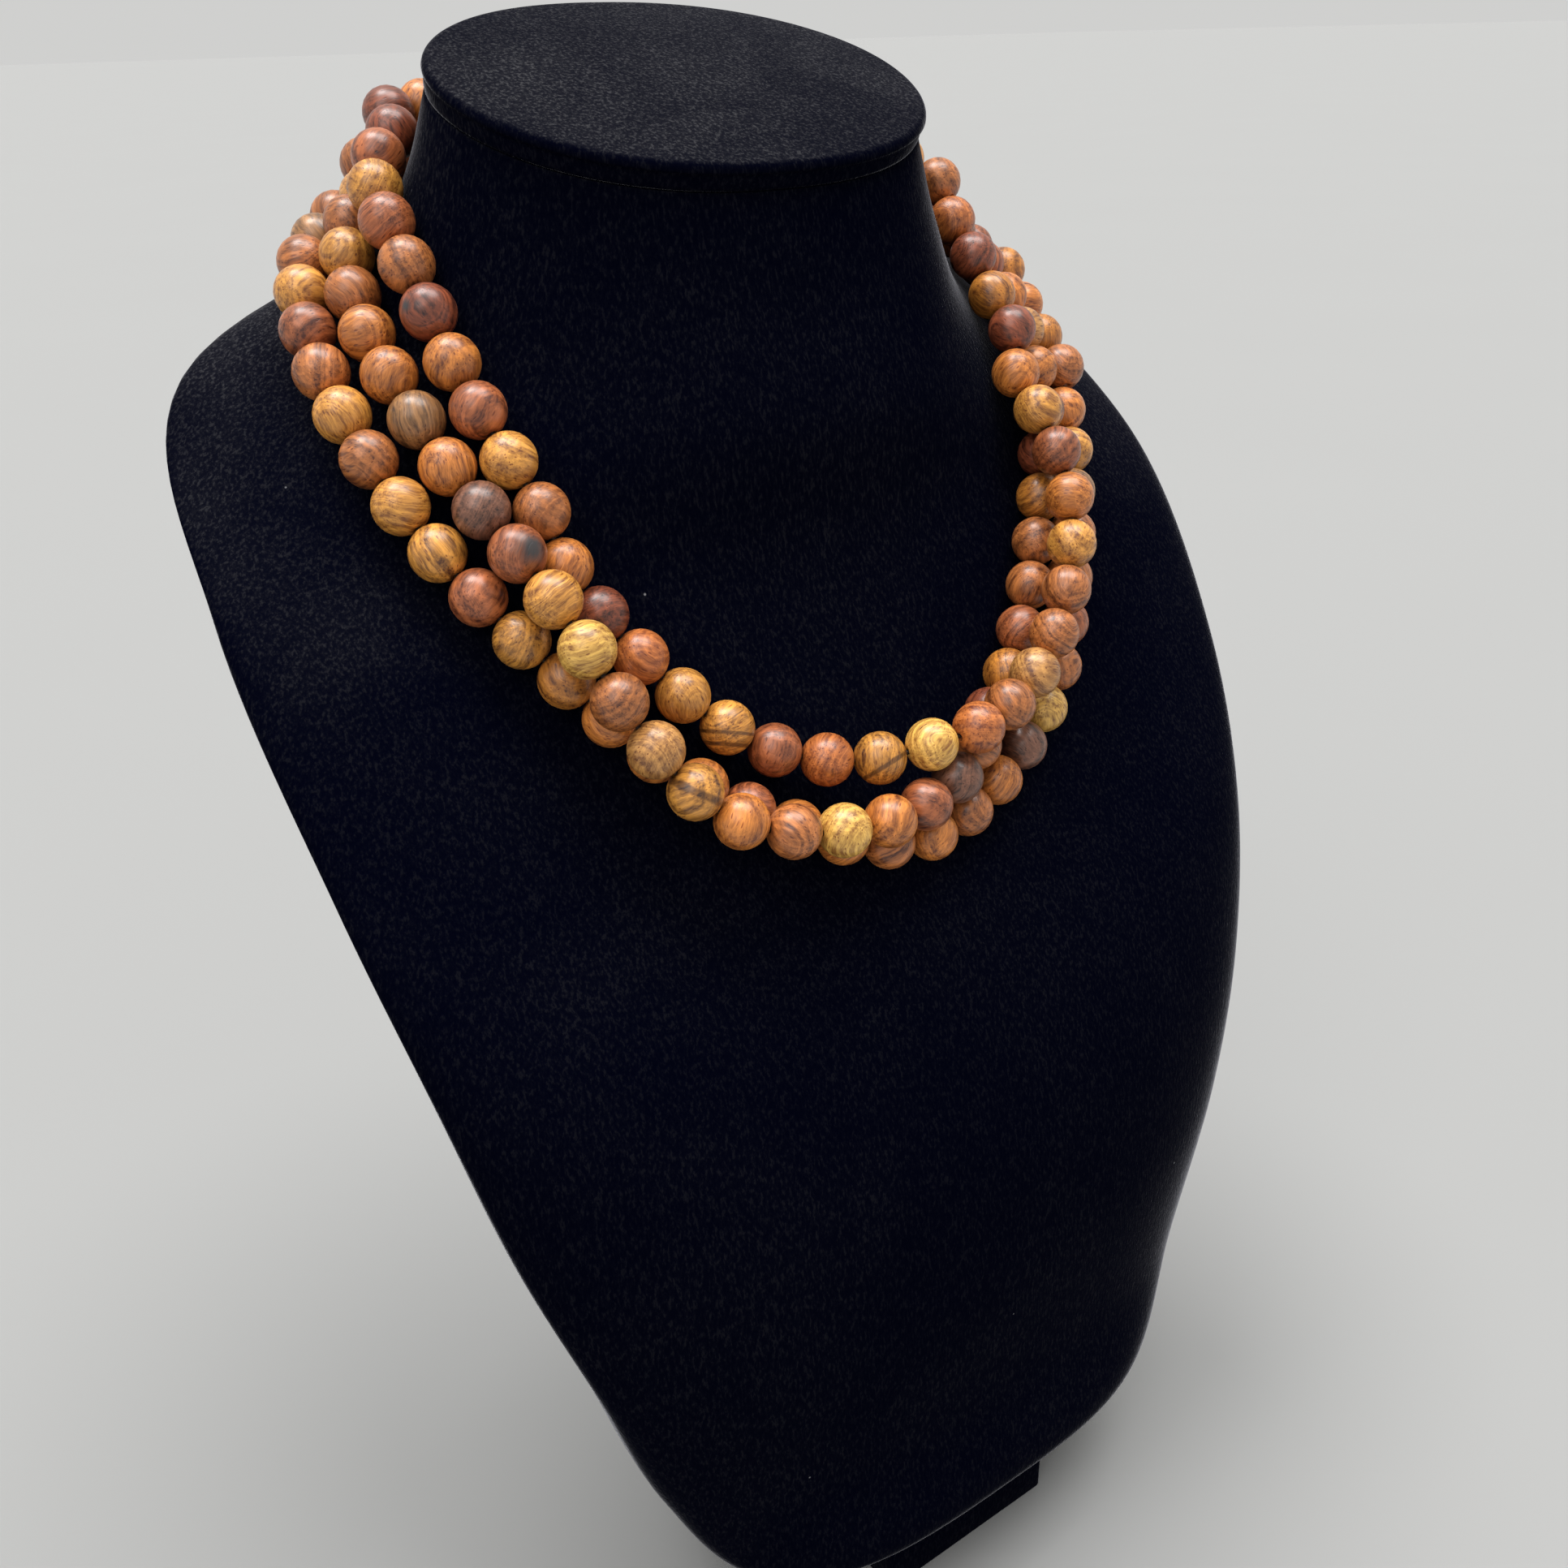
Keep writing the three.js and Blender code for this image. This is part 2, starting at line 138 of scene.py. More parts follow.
# Soft lights: the way each comes from, its strength and its spread in degrees
SKYLIGHTS = (
    ("rear_skylight", (-0.13, 0.24, 0.96), 2.35, 26),
    ("side_skylight", (0.24, -0.12, 0.96), 2.1, 34),
    ("front_window", (-0.6, -0.35, 0.7), 0.85, 40),
)
ROOM_COLOUR = (1.0, 1.0, 0.985, 1)
ROOM_STRENGTH = 0.63
FLOOR_HALF_SIDE = 60.0

# Camera: its place in millimetres from the sections' zero line, and its focal length
# in pixels of a picture of so many pixels
CAMERA_PLACE = (-168.49, -192.69, 317.88)
FOCAL_PIXELS = 1860
PICTURE_PIXELS = 1932
SENSOR_WIDTH = 36.0


def linear(hex_colour):
    """An sRGB hex colour as linear red, green and blue."""
    values = [int(hex_colour[i:i + 2], 16) / 255 for i in (1, 3, 5)]
    return tuple(v / 12.92 if v <= 0.04045 else ((v + 0.055) / 1.055) ** 2.4 for v in values)


class BustLook(bpy.types.PropertyGroup):
    """Colours and fineness of the velvet bust."""

    pile: FloatProperty(
        name="Pile",
        description="Width of one tuft of the velvet pile",
        default=0.32 * MM,
        unit="LENGTH",
    )
    deep: FloatVectorProperty(
        name="Deep pile",
        description="Colour where the pile stands up and hides its own ground",
        default=linear("#02030e"),
        subtype="COLOR",
    )
    # The laid pile colour also carries the painted top light and the painted flank light of the
    # velvet
    pale: FloatVectorProperty(
        name="Laid pile",
        description="Colour where the pile lies flat or faces up, and holds dust",
        default=linear("#252529"),
        subtype="COLOR",
    )
    sheen: FloatVectorProperty(
        name="Sheen",
        description="Colour that the pile shows where it is seen edge on",
        default=linear("#b2b2b8"),
        subtype="COLOR",
    )
    sides: IntProperty(
        name="Sides",
        description="Points round each ring of the bust",
        default=192,
        min=36,
    )


class BeadLook(bpy.types.PropertyGroup):
    """Sizes and finish of the beads, the thread and the clasp."""

    diameter: FloatProperty(
        name="Bead diameter",
        description="Diameter of each wooden bead",
        default=10 * MM,
        unit="LENGTH",
    )
    hole: FloatProperty(
        name="Hole",
        description="Diameter of the hole drilled through each bead",
        default=1.5 * MM,
        unit="LENGTH",
    )
    thread: FloatProperty(
        name="Thread",
        description="Diameter of the thread that carries the beads",
        default=0.9 * MM,
        unit="LENGTH",
    )
    grain: FloatProperty(
        name="Grain spacing",
        description="Distance from one broad dark layer of the wood to the next",
        default=1.7 * MM,
        unit="LENGTH",
    )
    brass: FloatVectorProperty(
        name="Brass",
        description="Colour of the clasp",
        default=linear("#b08d57"),
        subtype="COLOR",
    )


class StageLook(bpy.types.PropertyGroup):
    """Floor, light and camera."""

    floor: FloatVectorProperty(
        name="Floor",
        description="Colour of the plain floor",
        default=linear("#90908f"),
        subtype="COLOR",
    )
    elevation: FloatProperty(
        name="Camera elevation",
        description="How far the camera looks down",
        default=math.radians(26.45),
        subtype="ANGLE",
    )
    azimuth: FloatProperty(
        name="Camera azimuth",
        description="How far the camera stands round from the front, to the right",
        default=math.radians(-34.99),
        subtype="ANGLE",
    )
    roll: FloatProperty(
        name="Camera roll",
        description="How far the camera is turned about its own line of sight",
        default=math.radians(-1.6),
        subtype="ANGLE",
    )


def add_mesh(name, points, faces, smooth=True):
    """A mesh object at the origin from an array of points and lists of faces."""
    mesh = bpy.data.meshes.new(name)
    mesh.from_pydata(points.reshape(-1, 3).tolist(), [], faces)
    mesh.validate()
    if smooth:
        mesh.shade_smooth()
    obj = bpy.data.objects.new(name, mesh)
    bpy.context.scene.collection.objects.link(obj)
    return obj


def ring_faces(rings, sides, first=0):
    """Quads between neighbouring rings of points, numbered ring by ring."""
    ring, side = np.meshgrid(np.arange(rings - 1), np.arange(sides), indexing="ij")
    a = first + ring * sides + side
    b = first + ring * sides + (side + 1) % sides
    return np.stack([a, b, b + sides, a + sides], -1).reshape(-1, 4).tolist()


def fan_faces(ring_start, sides, middle, upward):
    """Triangles from one middle point to a ring, facing up or down its axis."""
    a = ring_start + np.arange(sides)
    b = ring_start + (np.arange(sides) + 1) % sides
    ends = (a, b) if upward else (b, a)
    return np.stack([np.full(sides, middle), *ends], -1).tolist()


def closed_skin(name, rings, first_middle, last_middle):
    """A closed mesh over an array of rings, with a fan of triangles at either end."""
    count, sides = rings.shape[:2]
    points = np.vstack([rings.reshape(-1, 3), first_middle, last_middle])
    faces = ring_faces(count, sides)
    faces += fan_faces(0, sides, len(points) - 2, False)
    faces += fan_faces((count - 1) * sides, sides, len(points) - 1, True)
    return add_mesh(name, points, faces)


def finish_piece(obj, material, slot, *nodes):
    """Gives a piece its material, its place on the frame and the nodes it stands for."""
    obj.data.materials.append(material)
    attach(obj, "root")
    if nodes:
        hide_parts(*nodes)


def section_rows():
    """The bust's sections in metres, one dictionary for each row of the two tables."""
    rows = []
    base = FOOT_HEIGHT + GAP
    for table, low, tall, wide, deep in (
        (BODY_SECTIONS, base, BODY_HEIGHT, SHOULDER_HALF_WIDTH, BODY_DEPTH),
        (NECK_SECTIONS, base + BODY_HEIGHT, NECK_HEIGHT, NECK_HALF_WIDTH, NECK_HALF_DEPTH),
    ):
        for values in table:
            row = dict(zip(SECTION_COLUMNS, values))
            row["height"] = (low + row["up"] * tall) * MM
            row["half"] *= wide * MM
            row["side"] *= BODY_DEPTH * MM
            row["front"] *= deep * MM
            row["back"] *= deep * MM
            row["lean"] = math.radians(row["lean"])
            rows.append(row)
    return rows


def outline(row, sides, margin=0.0, lift=0.0):
    """One section: x is the half width times cosine to a power, and the depth is the
    front or back reach times sine, laid in a plane that leans forwards. margin grows
    the outline and lift raises it along the plane's normal."""
    angle = np.linspace(0, 2 * np.pi, sides, endpoint=False)
    across, along = np.cos(angle), np.sin(angle)
    bend = np.where(along > 0, row["spine"], row["bow"])
    reach = np.where(along > 0, row["back"], row["front"]) + margin
    x = (row["half"] + margin) * np.sign(across) * np.abs(across) ** bend
    depth = reach * along
    sine, cosine = math.sin(row["lean"]), math.cos(row["lean"])
    y = row["side"] + depth * cosine - lift * sine
    z = row["height"] + depth * sine + lift * cosine
    return np.stack([x, y, z], -1)


def smooth_rails(rows, steps):
    """Rails through arrays of points: each span is a cubic whose end slopes come from
    the neighbouring points, weighted by the square root of their distances. Returns
    steps rings for each span, and the last ring."""
    before = 2 * rows[:1] - rows[1:2]
    after = 2 * rows[-1:] - rows[-2:-1]
    points = np.concatenate([before, rows, after])
    share = (np.arange(steps) / steps)[:, None, None]
    rings = []
    for i in range(len(rows) - 1):
        p0, p1, p2, p3 = points[i:i + 4]
        between = np.linalg.norm(np.diff(points[i:i + 4], axis=0), axis=-1, keepdims=True)
        d0, d1, d2 = np.maximum(np.sqrt(between), 1e-6)
        start = ((p1 - p0) / d0 - (p2 - p0) / (d0 + d1) + (p2 - p1) / d1) * d1
        end = ((p2 - p1) / d1 - (p3 - p1) / (d1 + d2) + (p3 - p2) / d2) * d1
        cubic = 2 * p1 - 2 * p2 + start + end
        square = -3 * p1 + 3 * p2 - 2 * start - end
        rings.append(p1 + share * start + share**2 * square + share**3 * cubic)
    rings.append(rows[-1][None])
    return np.concatenate(rings)


def bust_rings(sides, steps=12):
    """The body and neck: smooth rails through the outlines of all sections."""
    return smooth_rails(np.stack([outline(row, sides) for row in section_rows()]), steps)


def bust_shift():
    """How far the frame's bust stands back from the sections' own zero line, by the
    foremost point of either. A coarse skin finds it."""
    sides, steps = 36, 2
    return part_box("bust_body")[0].y - bust_rings(sides, steps)[..., 1].min()


def add_node(tree, kind, settings=None, inputs=None):
    """Adds a node, sets its properties and its inputs, and links the inputs that are
    given as sockets."""
    node = tree.nodes.new(kind)
    for key, value in (settings or {}).items():
        setattr(node, key, value)
    for key, value in (inputs or {}).items():
        if isinstance(value, bpy.types.NodeSocket):
            tree.links.new(value, node.inputs[key])
        else:
            node.inputs[key].default_value = value
    return node


def new_material(name):
    """An empty node material with its shader and output."""
    material = bpy.data.materials.new(name)
    material.use_nodes = True
    tree = material.node_tree
    tree.nodes.clear()
    shader = add_node(tree, "ShaderNodeBsdfPrincipled")
    output = add_node(tree, "ShaderNodeOutputMaterial")
    tree.links.new(shader.outputs["BSDF"], output.inputs["Surface"])
    return material, tree, shader


def ramp(tree, factor, stops):
    """A colour ramp with (place, grey value) stops, read as one number."""
    node = add_node(tree, "ShaderNodeValToRGB", inputs={"Fac": factor})
    elements = node.color_ramp.elements
    while len(elements) < len(stops):
        elements.new(0.5)
    for element, (place, grey) in zip(elements, stops):
        element.position = place
        element.color = (grey, grey, grey, 1)
    return node.outputs["Color"]


def calculate(tree, operation, *values):
    """One Math node on sockets or numbers."""
    inputs = dict(enumerate(values))
    return add_node(tree, "ShaderNodeMath", {"operation": operation}, inputs).outputs["Value"]


def calculate_vector(tree, operation, *values):
    """One Vector Math node on sockets or triples. A length comes out as a number."""
    inputs = dict(enumerate(values))
    node = add_node(tree, "ShaderNodeVectorMath", {"operation": operation}, inputs)
    return node.outputs["Value" if operation == "LENGTH" else "Vector"]


def mixed(tree, factor, first, second, **settings):
    """One Mix node on two sockets or values, which are colours unless settings say so."""
    settings = {"data_type": "RGBA", **settings}
    inputs = {"Factor": factor, "A": first, "B": second}
    return add_node(tree, "ShaderNodeMix", settings, inputs).outputs["Result"]


def noise(tree, vector, scale, detail, **inputs):
    """The value of one Noise Texture node."""
    inputs = {"Vector": vector, "Scale": scale, "Detail": detail, **inputs}
    return add_node(tree, "ShaderNodeTexNoise", inputs=inputs).outputs["Fac"]


def drawn_out(tree, vector, share, turn=(0.0, 0.0, 0.0)):
    """A place whose z counts for a share only, so that textures are longer that way."""
    return add_node(tree, "ShaderNodeMapping", {"vector_type": "POINT"}, {
        "Vector": vector, "Rotation": turn, "Scale": (1.0, 1.0, share)}).outputs["Vector"]


def opaque(colour, share=1.0):
    """A colour times a share, with full opacity."""
    return (*[value * share for value in colour], 1)


def velvet_material(look):
    """Rayon velvet, woven with a short standing pile and glued over a form: nearly
    black where the pile stands, with sparse pale fibre tips, broad brushed patches and a
    few specks of lint. Painted top light makes it grey where it faces up, and painted
    side light makes it a little paler round the flanks."""
    material, tree, shader = new_material("black_glued_rayon_velvet")
    place = add_node(tree, "ShaderNodeTexCoord").outputs["Object"]
    normal = add_node(tree, "ShaderNodeNewGeometry").outputs["Normal"]
    side, back, up = add_node(tree, "ShaderNodeSeparateXYZ", inputs={"Vector": normal}).outputs
    # Painted top light: the pile is paler where it faces up, as if lit from above
    top_light_mask = ramp(tree, up, ((0.55, 0.0), (0.8, 0.35), (0.93, 1.0)))
    # Painted side light: the pile is paler round the flanks, most where they turn to the back,
    # as if lit there from the side
    sideways = calculate(tree, "ABSOLUTE", side)
    backwards = calculate(tree, "MULTIPLY", back, 0.5)
    flank = calculate(tree, "MULTIPLY_ADD", sideways, 0.85, backwards)
    painted_flank_light = ramp(tree, flank, ((0.6, 0.0), (0.8, 0.05), (0.95, 0.2)))
    # Fibre tips are a tuft wide and three tufts long
    combed = drawn_out(tree, place, 0.35, (0.3, 0.2, 0.1))
    tufts = noise(tree, combed, 1 / (2 * look.pile), 2.0, Roughness=0.7)
    tips = ramp(tree, tufts, ((0.42, 0.0), (0.54, 0.2), (0.66, 1.0)))
    # Brushed patches are a few centimetres wide
    patch_width = 45 * MM
    brushed = noise(tree, place, 1 / patch_width, 4.0, Roughness=0.6, Distortion=0.8)
    patch = ramp(tree, brushed, ((0.4, 0.0), (0.72, 1.0)))
    # Lint specks about 0.4 mm wide lie one to every cell
    cell_width = 17 * MM
    lint = add_node(tree, "ShaderNodeTexVoronoi", inputs={
        "Vector": place, "Scale": 1 / cell_width})
    speck = ramp(tree, lint.outputs["Distance"], ((0.0, 1.0), (0.011, 0.7), (0.016, 0.0)))
    lint_grey = (0.2, 0.2, 0.21, 1)
    # The paleness of brushed patches, of the painted top light and of the painted flank light
    # is added up, and the fibre tips raise it the more
    top_light_strength = calculate(tree, "MULTIPLY_ADD", patch, 0.25, 0.2)
    painted_top_light = calculate(tree, "MULTIPLY", top_light_mask, top_light_strength)
    brushing_and_top_light = calculate(tree, "MULTIPLY_ADD", patch, 0.03, painted_top_light)
    ground = calculate(tree, "ADD", brushing_and_top_light, painted_flank_light)
    reach = calculate(tree, "MULTIPLY_ADD", ground, 4.6, 0.2)
    amount = calculate(tree, "MULTIPLY_ADD", tips, reach, ground)
    pile = mixed(tree, amount, opaque(look.deep), opaque(look.pale), clamp_factor=False)
    colour = mixed(tree, speck, pile, lint_grey)
    bump = add_node(tree, "ShaderNodeBump", inputs={
        "Height": tufts, "Strength": 0.6, "Distance": 0.2 * MM})
    tree.links.new(colour, shader.inputs["Base Color"])
    tree.links.new(bump.outputs["Normal"], shader.inputs["Normal"])
    shader.inputs["Roughness"].default_value = 1.0
    shader.inputs["Specular IOR Level"].default_value = 0.0
    shader.inputs["Sheen Weight"].default_value = 1.0
    shader.inputs["Sheen Roughness"].default_value = 0.18
    shader.inputs["Sheen Tint"].default_value = opaque(look.sheen)
    return material


def wood_material(spacing):
    """Fine tropical hardwood turned to beads, sanded and waxed: bent layers of
    uneven width in two tones of each bead's own board, thin fibre streaks, short dark
    pores along the grain, and a soft satin shine. The board attribute is each point's
    place in its board in mm, with the grain along z. The stripe attribute holds its
    distances from three dark stripes in half widths, and the knot attribute its place
    from a knot's middle in the knot's size."""
    material, tree, shader = new_material("turned_waxed_hardwood")
    board, knot, stripe = (
        add_node(tree, "ShaderNodeAttribute", {"attribute_name": name}).outputs["Vector"]
        for name in ("board", "knot", "stripe"))
    light, dark = (
        add_node(tree, "ShaderNodeAttribute", {"attribute_name": name}).outputs["Color"]
        for name in ("light_wood", "dark_wood"))
    # Lines, stripes and pores darken the wood by these, and a knot is of its own grey
    line_tint, stripe_tint = (0.5, 0.37, 0.27, 1), (0.28, 0.25, 0.28, 1)
    pore_tint, knot_grey = (0.42, 0.28, 0.2, 1), (0.028, 0.03, 0.032, 1)
    # The layers swing by about 1 mm to either side over some 8 mm
    swell = add_node(tree, "ShaderNodeTexNoise", inputs={
        "Vector": board, "Scale": 0.12, "Detail": 2.5}).outputs["Color"]
    bent = calculate_vector(tree, "MULTIPLY_ADD", swell, (3.5, 3.5, 0.0), board)
    flat = calculate_vector(tree, "MULTIPLY", bent, (1.0, 1.0, 0.0))
    layers = add_node(tree, "ShaderNodeTexNoise", {"noise_dimensions": "1D"}, {
        "W": calculate_vector(tree, "LENGTH", flat), "Scale": MM / spacing,
        "Detail": 5.0, "Roughness": 0.68}).outputs["Fac"]
    streaks = noise(tree, drawn_out(tree, bent, 0.1), 1.2, 5.0, Roughness=0.72)
    # Pores are about 0.2 mm wide and 1 mm long
    pores = add_node(tree, "ShaderNodeTexVoronoi", inputs={
        "Vector": drawn_out(tree, bent, 0.2), "Scale": 1.5}).outputs["Distance"]
    pore_depth = ramp(tree, pores, ((0.13, 1.0), (0.25, 0.0)))
    layer_share = ramp(tree, layers, ((0.38, 0.0), (0.5, 0.4), (0.6, 1.0)))
    streak_share = ramp(tree, streaks, ((0.39, 0.0), (0.61, 1.0)))
    figure = mixed(tree, 0.55, layer_share, streak_share, data_type="FLOAT")
    wood = mixed(tree, figure, light, dark)
    # A thin dark line ends each layer
    line = ramp(tree, layers, ((0.47, 0.0), (0.49, 0.55), (0.51, 0.0)))
    wood = mixed(tree, line, wood, line_tint, blend_type="MULTIPLY")
    # The edges of stripes and knots waver with the streaks
    away = calculate_vector(tree, "ABSOLUTE", stripe)
    first, second, third = add_node(
        tree, "ShaderNodeSeparateXYZ", inputs={"Vector": away}).outputs
    nearest = calculate(tree, "MINIMUM", calculate(tree, "MINIMUM", first, second), third)
    wavering = calculate(tree, "MULTIPLY_ADD", streaks, 1.2, -0.6)
    stripe_edge = calculate(tree, "MULTIPLY_ADD", nearest, 0.5, wavering)
    stripe_share = ramp(tree, stripe_edge, ((0.35, 0.9), (0.5, 0.5), (0.62, 0.0)))
    wood = mixed(tree, stripe_share, wood, stripe_tint, blend_type="MULTIPLY")
    wood = mixed(tree, pore_depth, wood, pore_tint, blend_type="MULTIPLY")
    uneven = calculate(tree, "MULTIPLY_ADD", streaks, 1.6, -0.8)
    knot_edge = calculate(tree, "ADD", calculate_vector(tree, "LENGTH", knot), uneven)
    knot_share = ramp(tree, knot_edge, ((0.35, 0.95), (0.6, 0.6), (1.0, 0.0)))
    wood = mixed(tree, knot_share, wood, knot_grey)
    sunk = calculate(tree, "MULTIPLY", pore_depth, -1.0)
    bump = add_node(tree, "ShaderNodeBump", inputs={
        "Height": sunk, "Strength": 0.4, "Distance": 0.06 * MM})
    rough = add_node(tree, "ShaderNodeMapRange", inputs={
        "Value": streaks, "To Min": 0.34, "To Max": 0.48})
    tree.links.new(wood, shader.inputs["Base Color"])
    tree.links.new(bump.outputs["Normal"], shader.inputs["Normal"])
    tree.links.new(rough.outputs["Result"], shader.inputs["Roughness"])
    shader.inputs["IOR"].default_value = 1.5
    shader.inputs["Coat Weight"].default_value = 0.3
    shader.inputs["Coat Roughness"].default_value = 0.24
    return material


def thread_material():
    """Waxed polyester thread, twisted: dark and dull, with fine slanting plies."""
    material, tree, shader = new_material("waxed_twisted_thread")
    place = add_node(tree, "ShaderNodeTexCoord").outputs["Object"]
    # The bands of a wave texture lie about 2 pi / 20 apart at scale 1
    ply_width = 0.5 * MM
    plies = add_node(tree, "ShaderNodeTexWave", {"bands_direction": "DIAGONAL"}, {
        "Vector": place, "Scale": 2 * math.pi / (20 * ply_width)})
    dark, light = opaque(linear("#1d120c")), opaque(linear("#3c281a"))
    tone = mixed(tree, plies.outputs["Fac"], dark, light)
    tree.links.new(tone, shader.inputs["Base Color"])
    shader.inputs["Roughness"].default_value = 0.7
    return material


def brass_material(colour):
    """Brass, tumbled to a satin shine: warm metal with faint fine wear."""
    material, tree, shader = new_material("satin_tumbled_brass")
    place = add_node(tree, "ShaderNodeTexCoord").outputs["Object"]
    wear_width = 1.5 * MM
    wear = noise(tree, place, 1 / wear_width, 4.0)
    rough = add_node(tree, "ShaderNodeMapRange", inputs={
        "Value": wear, "To Min": 0.25, "To Max": 0.42})
    tone = mixed(tree, wear, opaque(colour, 0.8), opaque(colour))
    tree.links.new(tone, shader.inputs["Base Color"])
    tree.links.new(rough.outputs["Result"], shader.inputs["Roughness"])
    shader.inputs["Metallic"].default_value = 1.0
    return material


def floor_material(colour):
    """Matte painted board: one pale tone with a barely seen unevenness."""
    material, tree, shader = new_material("matte_painted_floor")
    place = add_node(tree, "ShaderNodeTexCoord").outputs["Object"]
    cloud = noise(tree, place, 3.0, 2.0)
    tone = mixed(tree, cloud, opaque(colour, 0.98), opaque(colour))
    tree.links.new(tone, shader.inputs["Base Color"])
    shader.inputs["Roughness"].default_value = 0.9
    return material


def strand_shape(node):
    """Reads a strand's solid: bead centres in order from the clasp, and the two
    points where its thread meets the clasp. Points joined by a very short edge are on
    the thread, and the rest fall into one group for each bead."""
    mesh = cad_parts[node].data
    raw = np.zeros(len(mesh.vertices) * 3)
    mesh.vertices.foreach_get("co", raw)
    raw = raw.reshape(-1, 3)
    mesh.calc_loop_triangles()
    corners = np.zeros(len(mesh.loop_triangles) * 3, int)
    mesh.loop_triangles.foreach_get("vertices", corners)
    # Points this close are one, and edges of the thread's tube are this short
    same_place, short_edge = 0.01 * MM, 1.2 * MM
    _, first, same = np.unique(
        np.round(raw / same_place), axis=0, return_index=True, return_inverse=True)
    points = raw[first]
    faces = same.reshape(-1)[corners].reshape(-1, 3)
    edges = np.concatenate([faces[:, [0, 1]], faces[:, [1, 2]], faces[:, [2, 0]]])
    length = np.linalg.norm(points[edges[:, 0]] - points[edges[:, 1]], axis=1)
    on_thread = np.zeros(len(points), bool)
    on_thread[edges[length < short_edge].reshape(-1)] = True
    joined = edges[~on_thread[edges].any(axis=1)]
    group = np.arange(len(points))
    # The lowest point's number spreads over its whole bead in fewer rounds than this
    for _ in range(12):
        least = np.minimum(group[joined[:, 0]], group[joined[:, 1]])
        np.minimum.at(group, joined[:, 0], least)
        np.minimum.at(group, joined[:, 1], least)
    beads = np.array([
        points[(group == lowest) & ~on_thread].mean(0)
        for lowest in np.unique(group[~on_thread])])
    # The thread's two ends are its points nearest to the clasp's middle on either side
    clasp_reach, end_depth = 2 * MM, 0.2 * MM
    behind = points[on_thread & (points[:, 1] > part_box("clasp")[0].y - clasp_reach)]
    left = behind[behind[:, 0] < 0]
    right = behind[behind[:, 0] > 0]
    start = left[left[:, 0] > left[:, 0].max() - end_depth].mean(0)
    end = right[right[:, 0] < right[:, 0].min() + end_depth].mean(0)
    order = [int(np.linalg.norm(beads - start, axis=1).argmin())]
    while len(order) < len(beads):
        reach = np.linalg.norm(beads - beads[order[-1]], axis=1)
        reach[order] = np.inf
        order.append(int(reach.argmin()))
    return beads[order], start, end


def turned_frames(axes, seed):
    """For each bead, two unit vectors across its thread and each other, turned about
    the thread by a random angle."""
    rng = np.random.default_rng(seed)
    helper = np.where(np.abs(axes[:, 2:]) < 0.9, [[0.0, 0.0, 1.0]], [[1.0, 0.0, 0.0]])
    u = np.cross(helper, axes)
    u /= np.linalg.norm(u, axis=1, keepdims=True)
    v = np.cross(axes, u)
    turn = rng.uniform(0, 2 * np.pi, len(axes))[:, None]
    return np.cos(turn) * u + np.sin(turn) * v, np.cos(turn) * v - np.sin(turn) * u


def random_boards(count, seed):
    """A random turn and place in a board for each bead: rows of a rotation from a
    random quaternion, and an offset in mm, so that no two beads show one figure."""
    rng = np.random.default_rng(seed)
    q = rng.normal(size=(count, 4))
    w, x, y, z = (q / np.linalg.norm(q, axis=1, keepdims=True)).T
    turns = np.stack([
        np.stack([1 - 2 * (y * y + z * z), 2 * (x * y - z * w), 2 * (x * z + y * w)], -1),
        np.stack([2 * (x * y + z * w), 1 - 2 * (x * x + z * z), 2 * (y * z - x * w)], -1),
        np.stack([2 * (x * z - y * w), 2 * (y * z + x * w), 1 - 2 * (x * x + y * y)], -1)], 1)
    spread, from_heart = np.array([10.0, 10.0, 60.0]), 18.0
    offset = rng.uniform(-1, 1, (count, 3)) * spread
    offset[:, 0] += from_heart
    return turns, offset


def bead_profile(radius, hole, rings=15):
    """Half a bead's outline from one drilled end to the other: distance from the
    thread is the radius times the sine of an angle, and place along it the cosine.
    Either end dips over a rounded lip into a hole of the given radius."""
    lip_share = 1.25
    edge = math.asin(lip_share * hole / radius)
    angle = np.linspace(edge, math.pi - edge, rings)
    around = radius * np.sin(angle)
    along = -radius * np.cos(angle)
    lip = -along[0]
    mouth = np.array([
        [hole, lip - 0.9 * MM], [hole, lip - 0.25 * MM], [1.08 * hole, lip - 0.05 * MM]])
    before = np.stack([mouth[:, 0], -mouth[:, 1]], 1)
    after = mouth[::-1]
    return np.concatenate([before, np.stack([around, along], 1), after])


def point_attribute(mesh, name, kind, values):
    """Stores an array of vectors or colours on a mesh's points."""
    layer = mesh.attributes.new(name, kind, "POINT")
    field = {"FLOAT_VECTOR": "vector", "FLOAT_COLOR": "color"}[kind]
    layer.data.foreach_set(field, np.ascontiguousarray(values, np.float32).reshape(-1))


